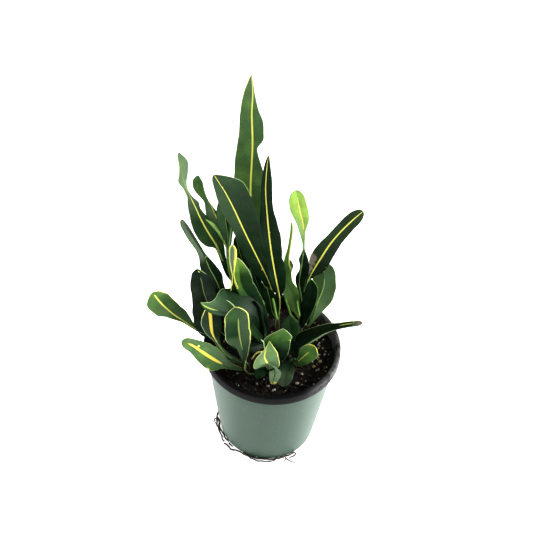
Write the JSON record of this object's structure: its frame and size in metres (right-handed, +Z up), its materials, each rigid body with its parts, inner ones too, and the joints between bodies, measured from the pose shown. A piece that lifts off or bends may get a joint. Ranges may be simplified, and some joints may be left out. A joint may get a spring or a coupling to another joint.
{
  "type": "potted croton",
  "caption": "Potted croton with long narrow leaves, some broken by bare midrib, in a round tapered nursery pot.",
  "frame": {"origin": "centre of the pot's underside, on the flat pad it stands on", "axes": "+Z up along the pot's axis; -Y is the front, the side with the short leaves at the soil"},
  "size_m": [0.2228, 0.152, 0.4482],
  "materials": {
    "pot_plastic": "green outside, black inside and on the lip, satin",
    "soil_mix": "loose peat and bark with perlite",
    "leaf": "dark green, satin, with yellow midribs",
    "root": "dry brown"
  },
  "bodies": {
    "root": {"pot": "pot_plastic", "soil": "soil_mix", "stem_centre": "leaf", "stem_left": "leaf", "stem_outer_left": "leaf", "stem_middle": "leaf", "stem_front_left": "leaf", "stem_front": "leaf", "stem_right": "leaf", "stem_outer_right": "leaf", "stem_front_right": "leaf", "stem_back": "leaf", "escaped_roots": "root"}
  },
  "joints": []
}
